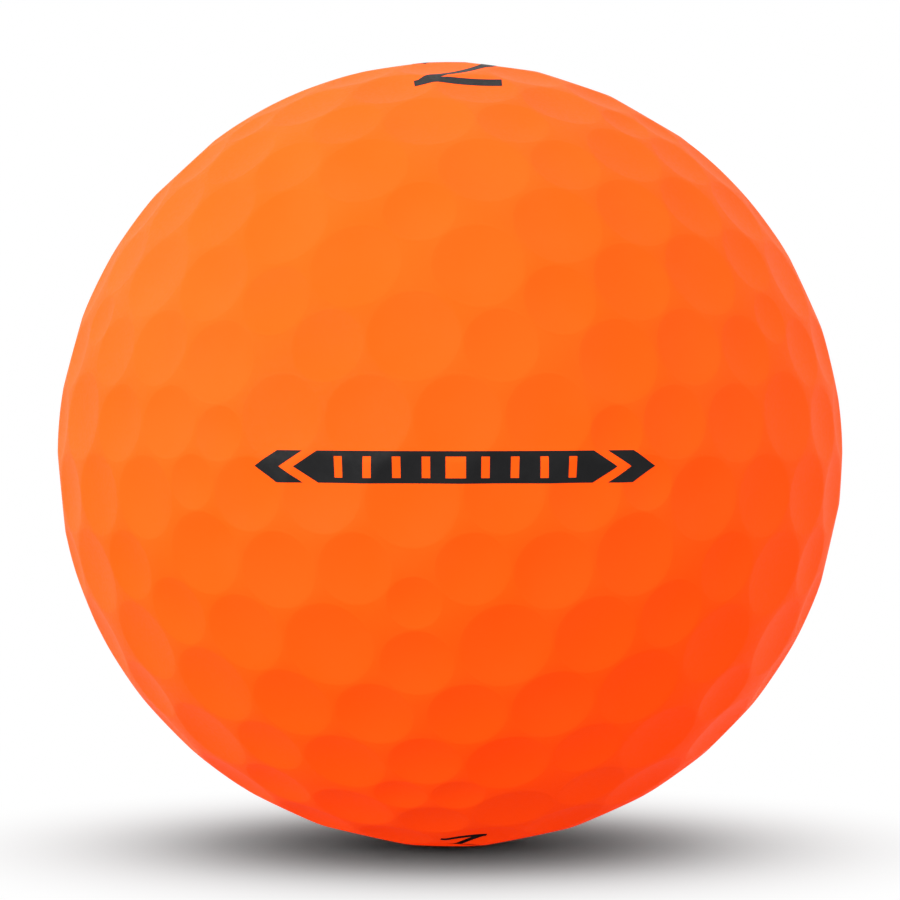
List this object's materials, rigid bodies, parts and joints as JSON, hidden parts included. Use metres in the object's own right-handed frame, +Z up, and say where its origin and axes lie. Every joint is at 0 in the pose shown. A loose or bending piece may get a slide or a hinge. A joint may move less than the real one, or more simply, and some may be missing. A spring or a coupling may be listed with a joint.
{
  "type": "golf ball",
  "caption": "Dimpled golf ball with a solid rubber core in a thin moulded cover, for resting on a tee or on the ground.",
  "frame": {"origin": "centre of the ball", "axes": "+Z up through the poles, square to the parting line; -Y towards the side with the alignment bar; +X to the right seen from there"},
  "size_m": [0.0426, 0.0426, 0.0426],
  "materials": {
    "cover": "matt fluorescent orange ionomer",
    "core": "plain moulded rubber"
  },
  "bodies": {
    "root": {"core": "core", "cover_upper": "cover", "cover_lower": "cover"}
  },
  "joints": []
}
